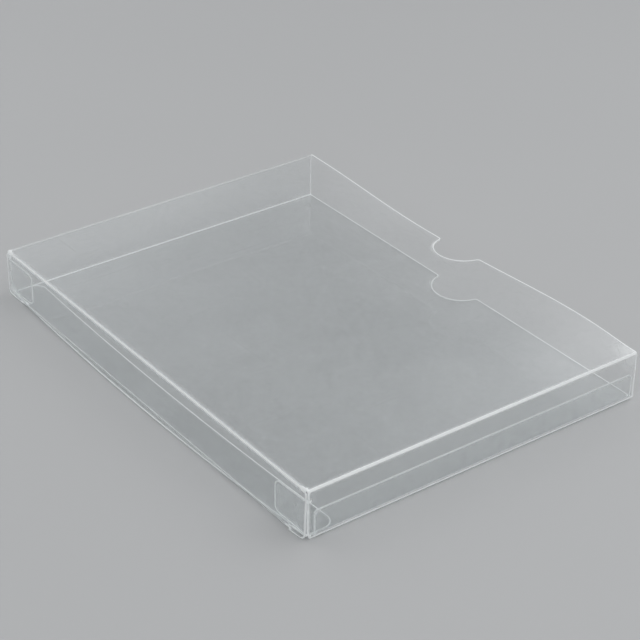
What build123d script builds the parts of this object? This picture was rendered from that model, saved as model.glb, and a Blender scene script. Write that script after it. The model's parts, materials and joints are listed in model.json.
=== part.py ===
from build123d import *
import math
import os

# Sizes of the folded sheet, in millimetres
width = 192.0  # over both side walls
depth = 143.0  # from the crease of the end flap to the open edge
height = 19.1  # over the flat parts of the top and bottom panels
film = 0.4  # thickness of the clear sheet
fold_radius = 1.1  # outer radius of a fold
clearance = 0.1  # air between layers that lie on each other but are not glued

# Top panel, which has relaxed into a wave along its open edge
sag = 2.5  # how far the wave dips
sag_x = -30.0  # where it dips most
swell = 0.9  # how far it stands up beside the glued wall
swell_inset = 18.0  # from the glued wall to that place
level_inset = 61.0  # from the glued wall to where it crosses back over the flat height
wave_share = 0.3  # share of the wave that is left at the middle station
wave_reach = 45.0  # from the open edge to the middle station
wave_end = 95.0  # from the open edge to where the panel is flat again

# Thumb notches in the open edge, one in the top panel and one in the bottom
notch_radius = 11.0
notch_depth = 9.6
notch_lead = 1.5  # radius of the lead-in at each side of a notch

# Glue flap, which rises from the bottom panel inside the right wall
glue_height = 10.3
glue_corner = 1.6
glue_back = 1.0  # how far it stops short of the open edge
glue_front = 3.5  # how far it stops short of the crease of the end flap
seam_edge = 0.4  # height of the right wall's raw lower edge

# Dust flaps, which fold in from the side walls behind the end flap
dust_width = 18.0
dust_low = 1.6
dust_relief = 4.3  # open height between the right dust flap and the top panel
dust_lift = 0.8  # how much higher the left dust flap sits
dust_taper = 0.8  # what the free end loses, at the right flap's top and the left one's foot
dust_slit = 0.15  # cut that frees a dust flap from the wall's top corner
dust_top_corner = 2.6
dust_low_corner = 2.2

# End flap, hinged at the front crease of the top panel
crease_bead = 0.35  # radius of the scored crease that the flap swings on
crease_gap = 0.06  # air round the crease bead
flap_inset = 0.3  # how much narrower the flap is at each side
flap_lean = 1.2  # how far the flap's foot is pushed out at its right end, none at its left
shoulder_width = 10.6  # locking shoulder beside each slit
shoulder_low = 0.9
shoulder_corner = 2.0

# Tuck tongue, which lies on the bottom panel inside the closed end
tuck_depth = 13.1  # from the crease line to the ends of the free edge
tuck_bow = 2.5  # how far the middle of the free edge lies nearer to the flap
tuck_corner = 5.0
tuck_inset = 0.6  # side play between the tongue and what stands beside it

# Bottom panel's raw edge at the closed end, which bows out under the flap
lip_reach = 1.5  # how far the middle of the bow passes the crease
lip_back = 1.2  # how far the ends of the bow stay behind the crease
lip_inset = 11.0  # from each side wall to an end of the bow

# Places worked out from the sizes
fold_mid = fold_radius - film / 2
open_y = (depth + lip_reach) / 2
crease_y = open_y - depth
hinge_y = crease_y + crease_bead
hinge_z = height - film / 2
corner_front = hinge_y + film
flat_half = width / 2 - fold_radius
wall_mid = width / 2 - film / 2
dust_y = hinge_y + film + clearance
wall_front = dust_y + film / 2 + fold_radius
dust_top = height - dust_relief
tuck_z = film + clearance + film / 2
tuck_start = hinge_y + fold_radius
tuck_end = hinge_y + tuck_depth
flap_top = hinge_z - crease_bead - crease_gap
flap_half = width / 2 - flap_inset
fold_half = flap_half - shoulder_width
lip_half = width / 2 - lip_inset


def pushed(section, plane, amount):
    """A solid made by pushing a flat section out of its plane."""
    return extrude(plane * section, amount=amount)


def strip(*points):
    """The section of a film that follows the points, with rounded folds."""
    places = [Vector(*point) for point in points]
    start, runs = places[0], []
    for before, corner, after in zip(places, places[1:], places[2:]):
        into, away = (corner - before).normalized(), (after - corner).normalized()
        reach = fold_mid * math.tan(math.radians(into.get_angle(away) / 2))
        first, last = corner - into * reach, corner + away * reach
        if (first - start).length > film / 100:
            runs.append(Line(start, first))
        runs.append(TangentArc(first, last, tangent=into))
        start = last
    if (places[-1] - start).length > film / 100:
        runs.append(Line(start, places[-1]))
    return trace(runs, line_width=film)


def along_depth(section, y_low, y_high):
    """A section in X and Z, pushed from one Y to the other."""
    return pushed(section, Plane.XZ.offset(-y_high), y_high - y_low)


def along_width(section, x_low, x_high):
    """A section in Y and Z, pushed from one X to the other."""
    return pushed(section, Plane.YZ.offset(x_low), x_high - x_low)


def along_height(section, z_low, z_high):
    """A plan in X and Y, pushed from one Z to the other."""
    return pushed(section, Plane.XY.offset(z_low), z_high - z_low)


def corners_of(x_low, x_high, y_low, y_high):
    """The corners of a rectangle, counted from low left, anticlockwise."""
    return [(x_low, y_low), (x_high, y_low), (x_high, y_high), (x_low, y_high)]


def rounded(places, radii):
    """A flat outline through the places, each rounded by its own radius."""
    return softened(make_face(Polyline(*places, close=True)), places, radii)


def softened(face, places, radii):
    """A flat outline with the corner at each place rounded by its own radius."""
    for place, radius in zip(places, radii):
        if radius > 0:
            corner = face.vertices().sort_by_distance(place)[0]
            face = fillet(corner, radius)
    return face


def top_band(y, share):
    """Section of the top panel at one Y, with a share of the open edge's wave."""
    level_x, swell_x = width / 2 - level_inset, width / 2 - swell_inset
    wave = [(sag_x, -sag * share), (level_x, 0), (swell_x, swell * share)]
    places = [(-flat_half, 0), *wave, (flat_half, 0)]
    upper = Spline(*[(x, height + z) for x, z in places], tangents=[(1, 0), (1, 0)])
    lower = Pos(0, -film) * upper
    ends = [Line(upper @ end, lower @ end) for end in (0, 1)]
    return Plane.XZ.offset(-y) * make_face([upper, lower, *ends])


def make_top_panel():
    """The top panel, flat behind its crease and wavy at the open edge."""
    wavy = loft(
        [
            top_band(open_y - wave_end, 0),
            top_band(open_y - wave_reach, wave_share),
            top_band(open_y, 1),
        ]
    )
    flat = Pos(0, (hinge_y + open_y - wave_end) / 2, height - film / 2) * Box(
        2 * flat_half, open_y - wave_end - hinge_y, film
    )
    bead = Pos(0, hinge_y, hinge_z) * Rot(0, 90, 0) * Cylinder(crease_bead, 2 * flat_half)
    return flat + wavy + bead


def make_glue_flap():
    """The flap that rises from the bottom panel and is glued inside the right wall."""
    right_seam = width / 2 - film
    glue_mid = right_seam - film / 2
    section = strip((right_seam - fold_radius, film / 2), (glue_mid, film / 2), (glue_mid, glue_height))
    glue_low, glue_high = crease_y + glue_front, open_y - glue_back
    outline = rounded(corners_of(glue_low, glue_high, 0, glue_height), (0, 0, glue_corner, glue_corner))
    flap = along_depth(section, glue_low, glue_high)
    return flap & along_width(outline, right_seam - 2 * fold_radius, right_seam)


def make_walls():
    """The two side walls with their folds, which reach the flap's crease over the dust flaps."""
    left = strip((-flat_half, film / 2), (-wall_mid, film / 2), (-wall_mid, hinge_z), (-flat_half, hinge_z))
    right = strip((flat_half, hinge_z), (wall_mid, hinge_z), (wall_mid, seam_edge))
    walls = along_depth(left, wall_front, open_y) + along_depth(right, wall_front, open_y)
    for side, low in ((-1, dust_top + dust_lift + dust_slit), (1, dust_top + dust_slit)):
        corner = strip((side * wall_mid, low), (side * wall_mid, hinge_z), (side * flat_half, hinge_z))
        walls += along_depth(corner, corner_front, wall_front)
    return walls


def make_dust_flap(side):
    """A dust flap on one side wall, folded in behind the end flap."""
    inner, outer = side * (width / 2 - dust_width), side * width / 2
    plan = strip((side * wall_mid, wall_front), (side * wall_mid, dust_y), (inner, dust_y))
    if side < 0:
        low, high = dust_low + dust_lift, dust_top + dust_lift
        places = [(outer, low), (inner, low + dust_taper), (inner, high), (outer, high)]
    else:
        low, high = dust_low, dust_top
        places = [(outer, low), (inner, low), (inner, high - dust_taper), (outer, high)]
    outline = rounded(places, (0, dust_low_corner, dust_top_corner, 0))
    return along_height(plan, low, high) & along_depth(outline, dust_y - film, wall_front)


def make_bottom_panel():
    """The bottom panel with the bowed lip of its raw front edge."""
    right_edge = width / 2 - film - fold_radius
    panel = Polyline(
        (-lip_half, crease_y + lip_back),
        (-flat_half, crease_y + lip_back),
        (-flat_half, open_y),
        (right_edge, open_y),
        (right_edge, crease_y + lip_back),
        (lip_half, crease_y + lip_back),
    )
    lip = ThreePointArc(panel @ 1, (0, crease_y - lip_reach), panel @ 0)
    return along_height(make_face([panel, lip]), 0, film)


def make_notch():
    """The space that both thumb notches clear, with rounded lead-ins."""
    centre_y = open_y - notch_depth + notch_radius
    beyond = 3 * notch_radius
    outside = Pos(0, open_y + beyond / 2) * Rectangle(2 * beyond, beyond)
    space = outside + Pos(0, centre_y) * Circle(notch_radius)
    mouth = math.sqrt(notch_radius**2 - (centre_y - open_y) ** 2)
    for side in (-1, 1):
        corner = space.vertices().sort_by_distance((side * mouth, open_y))[0]
        space = fillet(corner, notch_lead)
    return along_height(space, -film, height + swell + film)


def make_sleeve():
    """The folded and glued sheet without its end flap."""
    sleeve = make_top_panel() + make_walls() + make_bottom_panel() + make_glue_flap()
    for side in (-1, 1):
        sleeve += make_dust_flap(side)
    return sleeve - make_notch()


def flap_section(lean):
    """Section of the end panel and its lower fold, with the foot pushed out."""
    return strip((hinge_y, flap_top), (hinge_y - lean, tuck_z), (tuck_start - lean, tuck_z))


def make_end_flap():
    """The end panel with the fold of its tongue and a locking shoulder at each side."""
    ends = [Plane.YZ.offset(-fold_half) * flap_section(0), Plane.YZ.offset(fold_half) * flap_section(flap_lean)]
    flap = loft(ends, ruled=True)
    outline = rounded(corners_of(-flap_half, flap_half, shoulder_low, height), 4 * [shoulder_corner])
    outline = along_depth(outline, hinge_y - flap_lean - film, hinge_y + film)
    for low, high, lean in ((-flap_half, -fold_half, 0), (fold_half, flap_half, flap_lean)):
        flap += along_width(strip((hinge_y, flap_top), (hinge_y - lean, tuck_z)), low, high) & outline
    return flap


def make_tuck_flap():
    """The tongue that holds the end flap shut, with rounded free corners and a bowed edge."""
    left, right = film - width / 2 + tuck_inset, width / 2 - 2 * film - tuck_inset
    places = [
        (left, tuck_end),
        (left, tuck_start),
        (-fold_half, tuck_start),
        (fold_half, tuck_start - flap_lean),
        (right, tuck_start - flap_lean),
        (right, tuck_end),
    ]
    free = ThreePointArc(places[-1], ((left + right) / 2, tuck_end - tuck_bow), places[0])
    plan = softened(make_face([Polyline(*places), free]), (places[0], places[-1]), 2 * [tuck_corner])
    return along_height(plan, tuck_z - film / 2, tuck_z + film / 2)


os.makedirs("parts", exist_ok=True)
export_step(make_sleeve(), "parts/sleeve.step")
export_step(make_end_flap(), "parts/end_flap.step")
export_step(make_tuck_flap(), "parts/tuck_flap.step")
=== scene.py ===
import json
import math

import bmesh
import bpy
import numpy as np
from mathutils import Matrix, Vector
from mathutils.kdtree import KDTree


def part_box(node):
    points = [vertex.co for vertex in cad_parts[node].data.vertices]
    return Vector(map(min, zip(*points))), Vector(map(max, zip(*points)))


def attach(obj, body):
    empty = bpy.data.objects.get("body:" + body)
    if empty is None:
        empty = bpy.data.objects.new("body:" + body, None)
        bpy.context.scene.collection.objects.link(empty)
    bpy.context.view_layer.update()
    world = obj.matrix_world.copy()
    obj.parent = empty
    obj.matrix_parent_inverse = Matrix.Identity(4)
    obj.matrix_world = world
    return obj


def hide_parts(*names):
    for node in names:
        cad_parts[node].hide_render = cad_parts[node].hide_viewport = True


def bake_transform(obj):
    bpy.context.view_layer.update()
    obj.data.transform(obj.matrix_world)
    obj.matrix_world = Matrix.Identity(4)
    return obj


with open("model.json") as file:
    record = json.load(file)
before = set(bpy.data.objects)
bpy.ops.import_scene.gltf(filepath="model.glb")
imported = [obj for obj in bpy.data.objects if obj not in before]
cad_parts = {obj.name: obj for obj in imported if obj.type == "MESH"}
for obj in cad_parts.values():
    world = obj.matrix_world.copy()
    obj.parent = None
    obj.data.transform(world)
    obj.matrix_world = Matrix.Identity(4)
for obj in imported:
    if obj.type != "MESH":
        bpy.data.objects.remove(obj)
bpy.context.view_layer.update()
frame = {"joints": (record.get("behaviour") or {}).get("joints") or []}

# Lengths of the part are in millimetres until a mesh is finished
MM = 0.001
scene = bpy.context.scene


def box_mm(node):
    """The lowest and highest corner of a CAD node."""
    low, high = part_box(node)
    return low / MM, high / MM


# Places read from the frame. The open edge stays a little inside the solids' box
sleeve_low, sleeve_high = box_mm("sleeve")
tuck_low, tuck_high = box_mm("tuck_flap")
end_high = box_mm("end_flap")[1]
hinge = Vector(frame["joints"][0]["pos_m"]) / MM
HALF_WIDTH = sleeve_high.x
BOX_ROOM = 0.02
OPEN_Y = sleeve_high.y - BOX_ROOM
LIP_Y = sleeve_low.y
FILM = tuck_high.z - tuck_low.z
TOP_Z = hinge.z
CREASE_BEAD = 0.35
CREASE_Y = hinge.y - CREASE_BEAD

# Folds and walls of the sleeve, all on the middle of the film
FOLD_RADIUS = 1.1
FOLD = FOLD_RADIUS - FILM / 2
FLAT_HALF = HALF_WIDTH - FOLD_RADIUS
WALL_X = HALF_WIDTH - FILM / 2
BOTTOM_Z = FILM / 2
CORNER_FRONT = hinge.y + FILM
DUST_Y = hinge.y + FILM + 0.1
WALL_FRONT = DUST_Y + FOLD
SEAM_Z = 0.4
GLUE_GAP = 0.03
GLUE_X = WALL_X - FILM - GLUE_GAP
GLUE_FLAT = GLUE_X - FOLD
GLUE_TOP = 10.3
GLUE_CORNER = 1.6
GLUE_FRONT = CREASE_Y + 3.5
GLUE_BACK = OPEN_Y - 1.0

# Dust flaps and the relief above them. The left flap sits higher by the lift
DUST_WIDTH = 18.0
DUST_LOW = 1.6
DUST_TOP = TOP_Z + FILM / 2 - 4.3
DUST_LIFT = 0.8
DUST_TAPER = 0.8
DUST_TOP_CORNER = 2.6
DUST_LOW_CORNER = 2.2
RELIEF_GAP = 0.15
# Foot of the right wall, which stays straight below the dust flap's fold
WALL_TAB = 0.75

# Wave of the top panel at the open edge: it sags left of the notch and swells at the right
SAG = 2.5
SAG_X = -30.0
SWELL = 0.89
SWELL_X = HALF_WIDTH - 18.0
LEVEL_X = HALF_WIDTH - 61.0
WAVE_END = 95.0
WAVE_BEND = 0.908

# Thumb notches and the bowed lip
NOTCH_RADIUS = 11.0
NOTCH_DEPTH = 9.6
NOTCH_LEAD = 1.5
LIP_BACK = 1.2
LIP_INSET = 11.0

# End flap, whose foot is pushed out toward its right end, and its locking shoulders, left and right
FLAP_HALF = end_high.x
SHOULDER_WIDTHS = (10.6, 7.6)
SHOULDER_LOWS = (0.9, 0.35)
SHOULDER_CORNER = 2.0
FOLD_LEFT = SHOULDER_WIDTHS[0] - FLAP_HALF
FOLD_RIGHT = FLAP_HALF - SHOULDER_WIDTHS[1]
FLAP_LEAN = 1.2
LEAN_BACK = 0.7

# Tongue on the bottom panel
TUCK_Z = (tuck_low.z + tuck_high.z) / 2
TUCK_END = hinge.y + 13.1
TUCK_BOW = 2.5
TUCK_CORNER = 5.0
SLIT = 0.25

# What is noted at each point of a film: its whitening at folds, worn places and painted highlights,
# its cloudiness, and its nearness to a cut edge, where glow is painted
LAYERS = ("crease", "cloud", "rim")

# How whitened the film is. The rim runs along a cut edge, where the whitening paints the edge's
# glow, and the seam is the right wall's foot, where it paints the bright line along the bottom edge
RIM = 0.7
SEAM_HIGHLIGHT = 0.9
SEAM_REACH = 1.1
DUST_CREASE = 0.6
DUST_CLOUD = 1.0
GLUE_CLOUD = 0.45
GLUE_FOLD_CLOUD = 0.2

# How creased a fold is at its ends, and how narrow the white line at its middle is. The white line
# is stress whitening that also paints the fold's highlight
FOLD_END = 0.12
CRISP = 4.0
# The top right fold and the glue fold get wider white lines, which paint the brighter highlights
# these folds catch
CRISP_TOP_RIGHT = 1.6
CRISP_GLUE = 1.2
CRISP_TONGUE = 1.5

# Places where handling has whitened the film, and painted highlights at two corners: each a point,
# a reach and a strength. The first, at the open end's right corner, and the last, at the front
# right of the bottom, are painted highlights
WEAR_AND_HIGHLIGHTS = (
    ((FLAT_HALF, OPEN_Y, TOP_Z), 9.0, 0.5),
    ((-FLAT_HALF, CREASE_Y, TOP_Z), 1.6, 0.9),
    ((-FLAT_HALF + 2, CREASE_Y, BOTTOM_Z), 4.5, 0.7),
    ((FLAT_HALF - 6, CREASE_Y, BOTTOM_Z), 3.5, 0.5),
)

# Numbers of steps in the meshes
DEPTH_STEPS = 64
PANEL_STEPS = 32
NOTCH_STEPS = 40
LEAD_STEPS = 8
FOLD_STEPS = 10
CORNER_STEPS = 8
FLAP_COLUMNS = 60
WALL_ROWS = 10
GLUE_ROWS = 4
FLAP_ROWS = 9
SHOULDER_STEPS = 4
SHOULDER_ROWS = 3
TONGUE_ROWS = 12

# Columns of a panel beside its folds, and the space left beside the notch
BESIDE_FOLD = (0.0, 0.6, 1.4)
PANEL_START = 3.0
NOTCH_MARGIN = 2.0
GLUE_START = 3.0

# Wall beside a relief: how many rows lie between its rims, and where they start
RELIEF_ROWS = 2
RELIEF_START = 1.5 * RIM

# Distances at which points are joined, at which they lie on the hinge line, and between rim samples
JOIN_REACH = 0.002
HINGE_REACH = 0.02
RIM_STEP = 0.3

# Bends of more degrees than this have a hard edge
SHARP_ANGLE = 40

# Film: how it bends light, the tint of what passes through it, and its roughness
FILM_IOR = 1.57
CLEAR = (0.952, 0.962, 0.964, 1)
CLEAR_EDGE = (0.9, 0.95, 0.94, 1)
ROUGHNESS = 0.07
ROUGHNESS_EDGE = 0.2
WHITE = (1, 1, 1, 1)

# Cloudy film: its white, and the share of light that passes through. The same white paints the glow
# of cut edges and the highlights of folds
CLOUDY_AND_GLOW_WHITE = (0.955, 0.975, 0.978, 1)
CLOUDY_THROUGH = 0.32

# Noises: scale, detail and roughness
RIPPLE = (14.0, 1.0, 0.5)
GRAIN = (900.0, 1.0, 0.6)
CLOUDS = (26.0, 5.0, 0.62)
MOTTLE = (260.0, 3.0, 0.7)
SCUFF = (1.0, 1.0, 0.5)
STREAK = (160.0, 2.0, 0.6)
EDGE_GRAIN = (600.0, 3.0, 0.6)
EDGE_STREAK = (45.0, 3.0, 0.6)
FLOOR_TONE = (3.0, 2.0, 0.5)

# Range of each pattern that shows, and for streaks the range it is turned into
CLOUDS_SHOW = (0.45, 0.8)
MOTTLE_SHOW = (0.45, 0.75)
SCUFF_SHOW = (0.71, 0.78)
STREAK_SHOW = (0.3, 0.7, 0.8, 1.0)
RIM_SHOW = (0.0, 0.6)

# Bumps: strength and distance
RIPPLE_BUMP = (0.35, 0.003)
EDGE_BUMP = (0.4, 0.0002)
GRAIN_SHARE = 0.004

# Scuffs in two directions: how the noise is stretched, and its turn
SCUFFS = (
    ((30, 900, 30), (0, 0, 0.5)),
    ((700, 25, 700), (0, 0, 2.0)),
)

# Flecks: scale of the cells, where a fleck ends and is full, and the share of cells left bare
SPECKS = (120.0, 0.035, 0.02, 0.82)
DUST_GRAINS = (380.0, 0.07, 0.03, 0.84)
FLECK_FADE = 0.01

# How strongly each layer whitens the film. The creases also paint highlights on the folds, and the
# rims paint the glow of the cut edges
HAZE_AND_PAINTED_LIGHT = {
    "bare": 0.015,
    "clouds": 0.07,
    "mottle": 0.045,
    "scuffs": 0.06,
    "specks": 0.7,
    "dust": 0.5,
    "cloudy flaps": 0.12,
    "creases_and_highlights": 1.5,
    "rim_glow": 0.9,
}

# Camera, fitted to the corners of the box in the photograph
CAMERA_AT = Vector((503.42, -373.12, 384.02)) * MM
CAMERA_TO = Vector((-11.35, 14.46, 0.0)) * MM
CAMERA_LENS = 112.49
CAMERA_ROLL = 0.77
CAMERA_NEAR = 0.05

# Floor, just below the part. Far away it goes over into the backdrop
FLOOR_HALF = 4.0
FLOOR_Z = -0.0002
FLOOR_LIGHT = (0.47, 0.475, 0.48, 1)
FLOOR_DARK = (0.44, 0.445, 0.45, 1)
FLOOR_ROUGHNESS = 0.45
FLOOR_SPECULAR = 0.3
BACKDROP = (0.43, 0.437, 0.442, 1)
BACKDROP_REACH = (0.45, 1.4)

# Square softboxes: name, place, size and power
LAMPS = (
    ("key", (0.35, 0.9, 1.25), 1.5, 10.0),
    ("left", (-0.85, -0.45, 0.95), 1.1, 4.8),
    ("fill", (0.9, -0.7, 1.1), 1.5, 9.2),
)

# Surroundings. Each glow has a direction, where it starts and is full, and a strength
LIGHT_TINT = (0.96, 0.98, 1.0, 1)
WORLD_LEVEL = 0.24
WORLD_GLOWS = (
    ((0.15, 0.9, 0.42), 0.55, 0.95, 0.35),
    ((-0.93, 0.25, 0.26), 0.9, 0.98, 0.3),
    ((-0.36, 0.77, 0.53), 0.92, 0.995, 0.5),
)


def spread(low, high, count):
    """Evenly spaced numbers, both ends included."""
    return [low + (high - low) * i / count for i in range(count + 1)]


def clamped_spline(knots):
    """A smooth curve through the knots that runs level at both ends."""
    xs, zs = zip(*knots)
    last = len(xs) - 1
    matrix, right = np.eye(last + 1), np.zeros(last + 1)
    for i in range(1, last):
        before, after = xs[i] - xs[i - 1], xs[i + 1] - xs[i]
        matrix[i, i - 1 : i + 2] = 1 / before, 2 / before + 2 / after, 1 / after
        right[i] = 3 * (zs[i] - zs[i - 1]) / before**2 + 3 * (zs[i + 1] - zs[i]) / after**2
    slopes = np.linalg.solve(matrix, right)

    def height(x):
        i = min(max(np.searchsorted(xs, x) - 1, 0), last - 1)
        step = xs[i + 1] - xs[i]
        t = (x - xs[i]) / step
        level = zs[i] + (zs[i + 1] - zs[i]) * t * t * (3 - 2 * t)
        return level + step * t * (1 - t) * ((1 - t) * slopes[i] - t * slopes[i + 1])

    return height


wave = clamped_spline(
    [(-FLAT_HALF, 0), (SAG_X, -SAG), (LEVEL_X, 0), (SWELL_X, SWELL), (FLAT_HALF, 0)]
)


def wave_share(y):
    """How much of the open edge's wave is left at this depth."""
    t = min(max((y - OPEN_Y + WAVE_END) / WAVE_END, 0), 1)
    return WAVE_BEND * t * t + (1 - WAVE_BEND) * t


def open_edge(x):
    """Y of the open edge, which the thumb notch cuts into."""
    x = abs(x)
    centre = OPEN_Y - NOTCH_DEPTH + NOTCH_RADIUS
    lead_y = OPEN_Y - NOTCH_LEAD
    lead_x = math.sqrt((NOTCH_RADIUS + NOTCH_LEAD) ** 2 - (centre - lead_y) ** 2)
    if x >= lead_x:
        return OPEN_Y
    if x > lead_x * NOTCH_RADIUS / (NOTCH_RADIUS + NOTCH_LEAD):
        return lead_y + math.sqrt(max(NOTCH_LEAD**2 - (lead_x - x) ** 2, 0))
    return centre - math.sqrt(NOTCH_RADIUS**2 - x * x)


def notch_columns():
    """X places that follow the notch's arc and its lead-ins closely."""
    centre = OPEN_Y - NOTCH_DEPTH + NOTCH_RADIUS
    rise = centre - OPEN_Y + NOTCH_LEAD
    lead_x = math.sqrt((NOTCH_RADIUS + NOTCH_LEAD) ** 2 - rise**2)
    mouth = math.asin(lead_x / (NOTCH_RADIUS + NOTCH_LEAD))
    round_x = [NOTCH_RADIUS * math.sin(a) for a in spread(-mouth, mouth, NOTCH_STEPS)]
    lead = [lead_x - NOTCH_LEAD * math.sin(a) for a in spread(0, mouth, LEAD_STEPS)][:-1]
    return [-x for x in lead] + round_x + lead[::-1]


def panel_columns(low, high):
    """X places across a panel, close together at its folds and at the notch."""
    notch = notch_columns()
    left = [low + inset for inset in BESIDE_FOLD]
    left += spread(low + PANEL_START, notch[0] - NOTCH_MARGIN, PANEL_STEPS)
    right = spread(notch[-1] + NOTCH_MARGIN, high - PANEL_START, PANEL_STEPS)
    right += [high - inset for inset in BESIDE_FOLD[::-1]]
    return left + notch + right


def lip(x):
    """Y of the bottom panel's front edge, which bows out in the middle."""
    half = HALF_WIDTH - LIP_INSET
    start = CREASE_Y + LIP_BACK
    rise = start - LIP_Y
    radius = (half**2 + rise**2) / (2 * rise)
    if abs(x) >= half:
        return start
    return LIP_Y + radius - math.sqrt(radius**2 - x * x)


def fold_arc(centre, start, end, crispness=CRISP):
    """Points round a fold, by angles in degrees, and how strongly it is creased there."""
    points = []
    for share in spread(0, 1, FOLD_STEPS):
        a = math.radians(start + (end - start) * share)
        crease = FOLD_END + (1 - FOLD_END) * math.sin(math.pi * share) ** crispness
        points.append((centre[0] + FOLD * math.cos(a), centre[1] + FOLD * math.sin(a), crease))
    return points


class Sheet:
    """A film under construction: patches of its middle layer, joined where their edges meet."""

    def __init__(self, name):
        self.name = name
        self.bm = bmesh.new()
        self.layers = [self.bm.verts.layers.float.new(layer) for layer in LAYERS]

    def patch(self, rows, cloud=0.0):
        """Adds a grid of points, each a place and how strongly it is creased."""
        grid = []
        for row in rows:
            line = []
            for place, crease in row:
                vert = self.bm.verts.new(Vector(place) * MM)
                vert[self.layers[0]] = crease
                vert[self.layers[1]] = cloud
                line.append(vert)
            grid.append(line)
        for one, two in zip(grid, grid[1:]):
            for i in range(len(one) - 1):
                self.bm.faces.new((one[i], one[i + 1], two[i + 1], two[i]))

    def mark_rims(self):
        """Notes at each point how near it is to a cut edge of the film, where glow is painted, and
        to the worn places and painted highlights.
        """
        places = []
        for edge in self.bm.edges:
            one, two = edge.verts[0].co, edge.verts[1].co
            if edge.is_boundary and not at_hinge((one + two) / (2 * MM)):
                steps = int((two - one).length / (RIM_STEP * MM)) + 1
                places += [one.lerp(two, share) for share in spread(0, 1, steps)]
        tree = KDTree(len(places))
        for i, place in enumerate(places):
            tree.insert(place, i)
        tree.balance()
        for vert in self.bm.verts:
            vert[self.layers[2]] = max(0.0, 1 - tree.find(vert.co)[2] / (RIM * MM))
            # Wear and painted corner highlights raise the crease whitening
            for place, reach, strength in WEAR_AND_HIGHLIGHTS:
                near = 1 - (vert.co / MM - Vector(place)).length / reach
                vert[self.layers[0]] = max(vert[self.layers[0]], strength * near)

    def finish(self, materials):
        """Joins the patches, gives the film its thickness and returns the piece."""
        bmesh.ops.remove_doubles(self.bm, verts=self.bm.verts, dist=JOIN_REACH * MM)
        bmesh.ops.dissolve_degenerate(self.bm, edges=self.bm.edges, dist=JOIN_REACH * MM / 2)
        bmesh.ops.recalc_face_normals(self.bm, faces=self.bm.faces)
        self.mark_rims()
        mesh = bpy.data.meshes.new(self.name)
        self.bm.to_mesh(mesh)
        self.bm.free()
        for material in materials:
            mesh.materials.append(material)
        piece = bpy.data.objects.new(self.name, mesh)
        scene.collection.objects.link(piece)
        solid = piece.modifiers.new("film", "SOLIDIFY")
        solid.thickness = FILM * MM
        solid.offset = 0
        solid.use_even_offset = True
        solid.use_quality_normals = True
        solid.material_offset_rim = 1
        apply_modifiers(piece)
        for face in piece.data.polygons:
            face.use_smooth = True
            if face.material_index == 1 and at_hinge(face.center / MM):
                face.material_index = 0
        piece.data.set_sharp_from_angle(angle=math.radians(SHARP_ANGLE))
        return piece


def apply_modifiers(piece):
    """Leaves the piece with the mesh that its modifiers give."""
    graph = bpy.context.evaluated_depsgraph_get()
    mesh = bpy.data.meshes.new_from_object(piece.evaluated_get(graph))
    piece.modifiers.clear()
    piece.data = mesh


def at_hinge(place):
    """Whether a place is where the hinge crease goes over into a panel."""
    on_top = abs(place.y - hinge.y - FOLD) < HINGE_REACH and abs(place.z - TOP_Z) < FILM
    on_flap = abs(place.z - TOP_Z + FOLD) < HINGE_REACH and abs(place.y - hinge.y) < FILM
    return on_top or on_flap


def near_fold(distance):
    """How creased the film is at a distance from where a fold's curve ends."""
    return max(0.0, FOLD_END * (1 - distance / RIM))


def corner_cut(inset, radius):
    """What a rounded corner takes off at a distance in from the side."""
    past = max(radius - inset, 0)
    return radius - math.sqrt(max(radius**2 - past**2, 0))


def round_corner(radius):
    """Distances in from a side that follow its rounded corner."""
    return [radius * (1 - math.cos(a)) for a in spread(0, math.pi / 2, CORNER_STEPS)]


def toward_corner(length, radius, count):
    """Distances in from a side, closer together at its rounded corner."""
    return round_corner(radius) + spread(radius, length, count)[1:]


def toward_rims(low, high, count):
    """Evenly spaced numbers, with one more beside each end for the rim of a cut edge."""
    return [low, low + RIM] + spread(low, high, count)[1:-1] + [high - RIM, high]


def rows_of(columns, shares, place):
    """Rows of a patch, from each column's front and back and a place for each point."""
    rows = []
    for share in shares:
        rows.append([place(key, front + (back - front) * share) for key, front, back in columns])
    return rows


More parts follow.
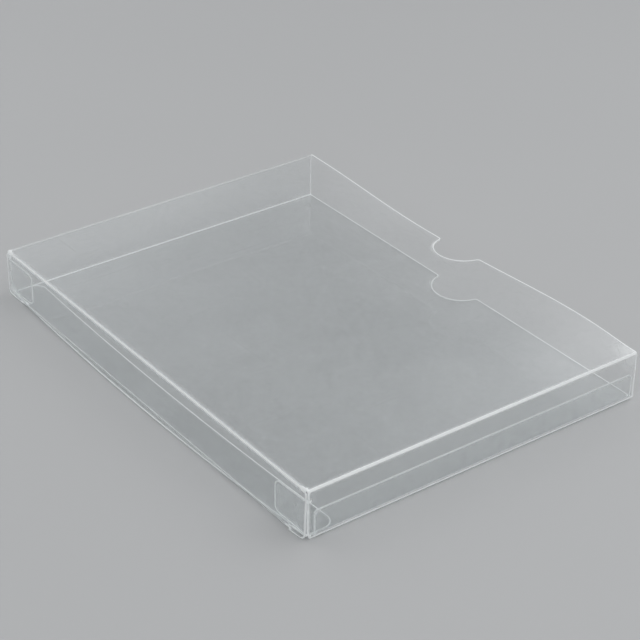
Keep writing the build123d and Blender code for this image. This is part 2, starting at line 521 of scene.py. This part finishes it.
def make_sleeve(materials):
    """The folded sheet: panels, walls, folds, glue flap and dust flaps."""
    sheet = Sheet("sleeve_film")
    depth = [CORNER_FRONT] + toward_rims(WALL_FRONT, OPEN_Y, DEPTH_STEPS)
    upper = [(y - depth[0]) / (depth[-1] - depth[0]) for y in depth]
    lower = [(y - depth[1]) / (depth[-1] - depth[1]) for y in depth[1:]]
    bend_top, bend_foot = TOP_Z - FOLD, BOTTOM_Z + FOLD

    for side in (-1, 1):
        lift = DUST_LIFT if side < 0 else 0
        low, high = DUST_LOW + lift, DUST_TOP + lift
        foot = bend_foot if side < 0 else SEAM_Z

        def on_wall(y, z):
            near = min(bend_top - z, z - foot) if side < 0 else bend_top - z
            # Whitening above the right wall's foot paints the bright line along the bottom edge
            seam = SEAM_HIGHLIGHT * (1 - (z - foot) / SEAM_REACH) if side > 0 else 0
            return (side * WALL_X, y, z), max(near_fold(near), seam)

        # Wall beside the relief, and the fold above it
        start = high + RELIEF_GAP
        relief = [start, start + RIM] + spread(start + RELIEF_START, bend_top - RIM, RELIEF_ROWS)
        relief.append(bend_top)
        sheet.patch([[on_wall(y, z) for z in relief] for y in depth])
        crispness = CRISP if side < 0 else CRISP_TOP_RIGHT
        curve = fold_arc((side * FLAT_HALF, bend_top), 90 - side * 90, 90, crispness)
        sheet.patch([[((x, y, z), crease) for x, z, crease in curve] for y in depth])
        # Wall behind the dust flap
        zs = [foot, foot + RIM] + toward_rims(low, high, WALL_ROWS)
        sheet.patch([[on_wall(y, z) for z in zs] for y in depth[1:]])
        sheet.patch([[on_wall(y, z) for z in (high, high + RELIEF_GAP)] for y in depth[1:]])
        add_dust_flap(sheet, side, zs[2:])
        if side > 0:
            tab = [(WALL_FRONT - WALL_TAB + inset, inset) for inset in round_corner(WALL_TAB)]
            limits = [(y, foot + corner_cut(inset, WALL_TAB), low) for y, inset in tab]
            sheet.patch(rows_of(limits, (0, RIM / (low - foot), 1), on_wall))

    # Top panel
    def on_top(x, y):
        crease = max(near_fold(FLAT_HALF - abs(x)), near_fold(y - hinge.y - FOLD))
        return (x, y, TOP_Z + wave(x) * wave_share(y)), crease

    columns = panel_columns(-FLAT_HALF, FLAT_HALF)
    limits = [(x, hinge.y + FOLD, open_edge(x)) for x in columns]
    for i in (0, -1):
        limits[i] = (columns[i], CORNER_FRONT, open_edge(columns[i]))
    sheet.patch(rows_of(limits, upper, on_top))

    # Bottom panel and its left fold
    curve = fold_arc((-FLAT_HALF, bend_foot), 180, 270)
    sheet.patch([[((x, y, z), crease) for x, z, crease in curve] for y in depth[1:]])
    columns = panel_columns(-FLAT_HALF, GLUE_FLAT)
    limits = []
    for i, x in enumerate(columns):
        if i == 0:
            limits.append((x, WALL_FRONT, OPEN_Y))
        elif i == len(columns) - 1:
            limits.append((x, GLUE_FRONT, GLUE_BACK))
        else:
            limits.append((x, lip(x), open_edge(x)))

    def on_bottom(x, y):
        return (x, y, BOTTOM_Z), near_fold(min(x + FLAT_HALF, GLUE_FLAT - x))

    sheet.patch(rows_of(limits, lower, on_bottom))

    # Glue flap inside the right wall
    def on_glue_fold(point, y):
        x, z, crease = point
        return (x, y, z), crease

    def on_glue_flap(z, y):
        return (GLUE_X, y, z), near_fold(z - bend_foot)

    curve = fold_arc((GLUE_FLAT, bend_foot), 270, 360, CRISP_GLUE)
    limits = [(point, GLUE_FRONT, GLUE_BACK) for point in curve]
    sheet.patch(rows_of(limits, lower, on_glue_fold), GLUE_FOLD_CLOUD)
    zs = [bend_foot, bend_foot + RIM] + spread(GLUE_START, GLUE_TOP - GLUE_CORNER, GLUE_ROWS)
    zs += [GLUE_TOP - inset for inset in round_corner(GLUE_CORNER)[-2::-1]]
    limits = []
    for z in zs:
        cut = corner_cut(GLUE_TOP - z, GLUE_CORNER)
        limits.append((z, GLUE_FRONT + cut, GLUE_BACK - cut))
    sheet.patch(rows_of(limits, lower, on_glue_flap), GLUE_CLOUD)
    return sheet.finish(materials)


def add_dust_flap(sheet, side, heights):
    """A dust flap that turns in from a side wall's front edge."""
    low, high = heights[0], heights[-1]
    bend = fold_arc((side * FLAT_HALF, WALL_FRONT), 90 - side * 90, 90 - side * 180)
    rows = [[((x, y, z), DUST_CREASE * crease) for x, y, crease in bend] for z in heights]
    sheet.patch(rows, DUST_CLOUD)
    reach = DUST_WIDTH - FOLD_RADIUS
    limits = []
    for inset in toward_corner(reach, DUST_TOP_CORNER, CORNER_STEPS):
        taper = DUST_TAPER * (1 - inset / reach)
        foot = low + corner_cut(inset, DUST_LOW_CORNER) + (taper if side < 0 else 0)
        head = high - corner_cut(inset, DUST_TOP_CORNER) - (taper if side > 0 else 0)
        limits.append((reach - inset, foot, head))
    shares = [(z - low) / (high - low) for z in heights]

    def on_flap(along, z):
        return (side * (FLAT_HALF - along), DUST_Y, z), DUST_CREASE * near_fold(along)

    sheet.patch(rows_of(limits, shares, on_flap), DUST_CLOUD)


def flap_lean(x):
    """How far the foot of the end flap is pushed out at this place along it."""
    lean = FLAP_LEAN * min(max((x - FOLD_LEFT) / (FOLD_RIGHT - FOLD_LEFT), 0), 1)
    return lean - LEAN_BACK * max(x - FOLD_RIGHT, 0) / SHOULDER_WIDTHS[1]


def make_end_flap(materials):
    """The end panel, its lower fold and the tongue on the bottom panel, as one sheet."""
    sheet = Sheet("end_flap_film")
    top, stop = TOP_Z - FOLD, TUCK_Z + FOLD
    middle = spread(FOLD_LEFT, FOLD_RIGHT, FLAP_COLUMNS)
    left, right = (
        toward_corner(width, SHOULDER_CORNER, SHOULDER_STEPS) for width in SHOULDER_WIDTHS
    )
    columns = [inset - FLAP_HALF for inset in left[:-1]] + middle
    columns += [FLAP_HALF - inset for inset in right[-2::-1]]
    upper, lower = [], []
    for x in columns:
        cut = corner_cut(FLAP_HALF - abs(x), SHOULDER_CORNER)
        foot = SHOULDER_LOWS[x > 0] + cut
        upper.append((x, min(top, TOP_Z + FILM / 2 - cut), max(stop, foot)))
        lower.append((x, max(stop, foot), foot))

    def on_panel(x, z):
        crease = near_fold(top - z)
        if FOLD_LEFT <= x <= FOLD_RIGHT:
            crease = max(crease, near_fold(z - stop))
        return (x, hinge.y - flap_lean(x) * (top - z) / (top - stop), z), crease

    shares = [(top - z) / (top - stop) for z in toward_rims(stop, top, FLAP_ROWS)[::-1]]
    sheet.patch(rows_of(upper, shares, on_panel))
    for shoulder in (lower[: len(left)], lower[-len(right) :]):
        sheet.patch(rows_of(shoulder, spread(0, 1, SHOULDER_ROWS), on_panel))
    curve = fold_arc((hinge.y + FOLD, stop), 180, 270, CRISP_TONGUE)
    sheet.patch([[((x, y - flap_lean(x), z), crease) for x in middle] for y, z, crease in curve])
    # Tongue, wider than its fold past the slits
    left, right = tuck_low.x, tuck_high.x
    beside_left = toward_corner(FOLD_LEFT - left, TUCK_CORNER, SHOULDER_STEPS)
    beside_right = toward_corner(right - FOLD_RIGHT, TUCK_CORNER, SHOULDER_STEPS)
    columns = [left + inset for inset in beside_left[:-1]] + middle
    columns += [right - inset for inset in beside_right[-2::-1]]
    flat_y, front = hinge.y + FOLD, hinge.y + FOLD + SLIT

    def on_tongue(x, y):
        return (x, y, TUCK_Z), near_fold(y + flap_lean(x) - flat_y)

    sheet.patch([[on_tongue(x, y - flap_lean(x)) for x in middle] for y in (flat_y, front)])
    limits = []
    for x in columns:
        bow = TUCK_BOW * (1 - ((2 * x - left - right) / (right - left)) ** 2)
        cut = corner_cut(min(x - left, right - x), TUCK_CORNER)
        limits.append((x, front - flap_lean(x), TUCK_END - bow - cut))
    shares = [row / TONGUE_ROWS for row in toward_rims(0, TONGUE_ROWS, TONGUE_ROWS)]
    sheet.patch(rows_of(limits, shares, on_tongue))
    return sheet.finish(materials)


def make_hinge_crease(materials):
    """The fold between the top panel and the end flap."""
    sheet = Sheet("hinge_crease")
    columns = spread(-FLAT_HALF, FLAT_HALF, FLAP_COLUMNS)
    curve = fold_arc((hinge.y + FOLD, TOP_Z - FOLD), 90, 180)
    sheet.patch([[((x, y, z), crease) for x in columns] for y, z, crease in curve])
    return sheet.finish(materials)


class Nodes:
    """A short way to add shader nodes to a material or to the world."""

    def __init__(self, owner):
        owner.use_nodes = True
        self.owner = owner
        self.tree = owner.node_tree
        self.tree.nodes.clear()

    def add(self, kind, inputs=(), **settings):
        node = self.tree.nodes.new(kind)
        for key, value in settings.items():
            setattr(node, key, value)
        for key, value in dict(inputs).items():
            if isinstance(value, bpy.types.NodeSocket):
                self.tree.links.new(value, node.inputs[key])
            else:
                node.inputs[key].default_value = value
        return node

    def math(self, operation, one, two=0.0, clamp=False):
        node = self.add("ShaderNodeMath", {0: one, 1: two}, operation=operation, use_clamp=clamp)
        return node.outputs[0]

    def ramp(self, value, low, high, to_low=0.0, to_high=1.0, shape="LINEAR"):
        inputs = {"Value": value, "From Min": low, "From Max": high}
        inputs.update({"To Min": to_low, "To Max": to_high})
        return self.add("ShaderNodeMapRange", inputs, interpolation_type=shape).outputs[0]

    def place(self):
        return self.add("ShaderNodeTexCoord").outputs["Object"]

    def stretched(self, scale, turn):
        inputs = {"Vector": self.place(), "Scale": scale, "Rotation": turn}
        return self.add("ShaderNodeMapping", inputs).outputs[0]

    def noise(self, scale, detail, roughness, vector=None):
        inputs = {"Vector": vector or self.place(), "Scale": scale}
        inputs.update({"Detail": detail, "Roughness": roughness})
        return self.add("ShaderNodeTexNoise", inputs).outputs[0]

    def bump(self, height, strength, distance):
        inputs = {"Height": height, "Strength": strength, "Distance": distance}
        return self.add("ShaderNodeBump", inputs).outputs[0]

    def attribute(self, name):
        return self.add("ShaderNodeAttribute", attribute_name=name).outputs["Fac"]

    def background(self, colour, strength=1.0):
        return self.add("ShaderNodeBackground", {"Color": colour, "Strength": strength}).outputs[0]

    def mix(self, share, one, two):
        return self.add("ShaderNodeMixShader", {0: share, 1: one, 2: two}).outputs[0]

    def seen(self):
        """1 for the rays that see a background: straight, in gloss and through glass."""
        rays = self.add("ShaderNodeLightPath").outputs
        mirrored = self.math("MAXIMUM", rays["Is Glossy Ray"], rays["Is Transmission Ray"])
        return self.math("MAXIMUM", rays["Is Camera Ray"], mirrored)

    def done(self, surface, output="ShaderNodeOutputMaterial"):
        self.add(output, {"Surface": surface})
        return self.owner


def flecks(nodes, scale, reach, core, bare):
    """Small round flecks, each in a cell of its own."""
    cells = nodes.add("ShaderNodeTexVoronoi", {"Vector": nodes.place(), "Scale": scale})
    spots = nodes.ramp(cells.outputs["Distance"], reach, core)
    lot = nodes.add("ShaderNodeSeparateColor", {0: cells.outputs["Color"]}).outputs[0]
    return nodes.math("MULTIPLY", spots, nodes.ramp(lot, bare, bare + FLECK_FADE))


def scuffs(nodes):
    """Fine scratches in two directions."""
    deepest = 0.0
    for scale, turn in SCUFFS:
        lines = nodes.ramp(nodes.noise(*SCUFF, nodes.stretched(scale, turn)), *SCUFF_SHOW)
        deepest = nodes.math("MAXIMUM", deepest, lines)
    return deepest


def shine(nodes, bump):
    """Share of light that both faces of the film send back together."""
    once = nodes.add("ShaderNodeFresnel", {"IOR": FILM_IOR, "Normal": bump}).outputs[0]
    return nodes.math("DIVIDE", nodes.math("MULTIPLY", once, 2.0), nodes.math("ADD", once, 1.0))


def glossy(nodes, bump, tint, roughness):
    """Clear film that mirrors its surroundings."""
    clear = nodes.add("ShaderNodeBsdfTransparent", {"Color": tint})
    inputs = {"Color": WHITE, "Roughness": roughness, "Normal": bump}
    gloss = nodes.add("ShaderNodeBsdfGlossy", inputs)
    return nodes.mix(shine(nodes, bump), clear.outputs[0], gloss.outputs[0])


def frost_and_glow(nodes, bump):
    """White, cloudy film, which scatters light to both sides. It also paints the glow of cut edges
    and the highlights of folds.
    """
    front = nodes.add("ShaderNodeBsdfDiffuse", {"Color": CLOUDY_AND_GLOW_WHITE, "Normal": bump})
    through = nodes.add("ShaderNodeBsdfTranslucent", {"Color": CLOUDY_AND_GLOW_WHITE, "Normal": bump})
    return nodes.mix(CLOUDY_THROUGH, front.outputs[0], through.outputs[0])


def film_material():
    """Clear glossy film with faint clouds, scuffs and dust, whitened at its folds, with painted
    highlights on its folds and corners and painted glow along its rims.

    The whole film is drawn where light enters it, and nothing more where it leaves.
    """
    nodes = Nodes(bpy.data.materials.new("clear_film"))
    grain = nodes.math("MULTIPLY", nodes.noise(*GRAIN), GRAIN_SHARE)
    bump = nodes.bump(nodes.math("ADD", nodes.noise(*RIPPLE), grain), *RIPPLE_BUMP)
    crease, cloud, rim = (nodes.attribute(layer) for layer in LAYERS)
    mottle = nodes.ramp(nodes.noise(*MOTTLE), *MOTTLE_SHOW)
    streak = nodes.ramp(nodes.noise(*STREAK), *STREAK_SHOW)
    layers = {
        "clouds": nodes.ramp(nodes.noise(*CLOUDS), *CLOUDS_SHOW),
        "mottle": mottle,
        "scuffs": scuffs(nodes),
        "specks": flecks(nodes, *SPECKS),
        "dust": flecks(nodes, *DUST_GRAINS),
        "cloudy flaps": nodes.math("MULTIPLY", cloud, nodes.math("ADD", mottle, 1.0)),
        # crease whitening, which also paints the folds' highlights
        "creases_and_highlights": nodes.math("MULTIPLY", crease, streak),
        # painted glow along the cut edges
        "rim_glow": nodes.ramp(rim, *RIM_SHOW),
    }
    haze_and_painted_light = HAZE_AND_PAINTED_LIGHT["bare"]
    for name, layer in layers.items():
        haze_and_painted_light = nodes.math("ADD", haze_and_painted_light, nodes.math("MULTIPLY", layer, HAZE_AND_PAINTED_LIGHT[name]), clamp=True)
    front = nodes.mix(haze_and_painted_light, glossy(nodes, bump, CLEAR, ROUGHNESS), frost_and_glow(nodes, bump))
    inside = nodes.add("ShaderNodeNewGeometry").outputs["Backfacing"]
    out = nodes.add("ShaderNodeBsdfTransparent", {"Color": WHITE}).outputs[0]
    return nodes.done(nodes.mix(inside, front, out))


def edge_material():
    """The cut edge of the film, where light that runs inside the sheet comes out, painted as white
    streaks.
    """
    nodes = Nodes(bpy.data.materials.new("cut_edge"))
    bump = nodes.bump(nodes.noise(*EDGE_GRAIN), *EDGE_BUMP)
    # White streaks paint the glow of the cut edge
    share = nodes.ramp(nodes.noise(*EDGE_STREAK), *STREAK_SHOW)
    body = glossy(nodes, bump, CLEAR_EDGE, ROUGHNESS_EDGE)
    return nodes.done(nodes.mix(share, body, frost_and_glow(nodes, bump)))


def floor_material():
    """A plain pale studio floor, which goes over into the backdrop's tone far from the part."""
    nodes = Nodes(bpy.data.materials.new("studio_floor"))
    # Sockets 6 and 7 hold the two colours
    tones = {0: nodes.noise(*FLOOR_TONE), 6: FLOOR_LIGHT, 7: FLOOR_DARK}
    colour = nodes.add("ShaderNodeMix", tones, data_type="RGBA").outputs[2]
    inputs = {"Base Color": colour, "Roughness": FLOOR_ROUGHNESS}
    inputs["Specular IOR Level"] = FLOOR_SPECULAR
    body = nodes.add("ShaderNodeBsdfPrincipled", inputs).outputs[0]
    away = nodes.add("ShaderNodeVectorMath", {0: nodes.place()}, operation="LENGTH")
    far = nodes.math("MULTIPLY", nodes.ramp(away.outputs["Value"], *BACKDROP_REACH), nodes.seen())
    backdrop = nodes.add("ShaderNodeEmission", {"Color": BACKDROP}).outputs[0]
    return nodes.done(nodes.mix(far, body, backdrop))


def toward(direction):
    """The turn that faces a camera or lamp in this direction."""
    return direction.to_track_quat("-Z", "Y")


def make_camera():
    """The camera at the photograph's viewing angle."""
    data = bpy.data.cameras.new("camera")
    data.lens = CAMERA_LENS
    data.clip_start = CAMERA_NEAR
    camera = bpy.data.objects.new("camera", data)
    scene.collection.objects.link(camera)
    aim = toward(CAMERA_TO - CAMERA_AT).to_matrix().to_4x4()
    roll = Matrix.Rotation(math.radians(CAMERA_ROLL), 4, "Z")
    camera.matrix_world = Matrix.Translation(CAMERA_AT) @ aim @ roll
    scene.camera = camera


def make_lamp(name, place, size, power):
    """A square softbox that faces the part."""
    data = bpy.data.lights.new(name, "AREA")
    data.size = size
    data.energy = power
    lamp = bpy.data.objects.new(name, data)
    scene.collection.objects.link(lamp)
    lamp.location = place
    lamp.rotation_euler = toward(-Vector(place)).to_euler()


def make_floor():
    """A wide level floor."""
    mesh = bpy.data.meshes.new("floor")
    half = FLOOR_HALF
    corners = [(-half, -half, 0), (half, -half, 0), (half, half, 0), (-half, half, 0)]
    mesh.from_pydata(corners, [], [(0, 1, 2, 3)])
    mesh.materials.append(floor_material())
    floor = bpy.data.objects.new("floor", mesh)
    floor.location.z = FLOOR_Z
    scene.collection.objects.link(floor)


def make_world():
    """Pale surroundings, with soft glows that light the part and show in its gloss."""
    nodes = Nodes(bpy.data.worlds.new("studio"))
    outward = nodes.add("ShaderNodeTexCoord").outputs["Generated"]
    glow = 0.0
    for direction, start, end, strength in WORLD_GLOWS:
        aim = {0: outward, 1: Vector(direction).normalized()}
        near = nodes.add("ShaderNodeVectorMath", aim, operation="DOT_PRODUCT").outputs["Value"]
        glow = nodes.math("ADD", glow, nodes.ramp(near, start, end, 0.0, strength, "SMOOTHSTEP"))
    light = nodes.background(LIGHT_TINT, nodes.math("ADD", glow, WORLD_LEVEL))
    gloss = nodes.background(LIGHT_TINT, nodes.math("ADD", glow, BACKDROP[0]))
    straight = nodes.add("ShaderNodeLightPath").outputs["Is Camera Ray"]
    around = nodes.mix(nodes.seen(), light, gloss)
    surface = nodes.mix(straight, around, nodes.background(BACKDROP))
    scene.world = nodes.done(surface, "ShaderNodeOutputWorld")


film, edge = film_material(), edge_material()
sleeve = make_sleeve([film, edge])
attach(sleeve, "sleeve")
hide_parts("sleeve")
end_flap = make_end_flap([film, edge])
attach(end_flap, "end_flap")
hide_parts("end_flap", "tuck_flap")
crease = make_hinge_crease([film, film])
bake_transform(crease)

make_camera()
make_floor()
for lamp in LAMPS:
    make_lamp(*lamp)
make_world()
scene.view_settings.view_transform = "Standard"
scene.cycles.transparent_max_bounces = 32
scene.cycles.max_bounces = 6
scene.cycles.diffuse_bounces = 3
scene.cycles.glossy_bounces = 3
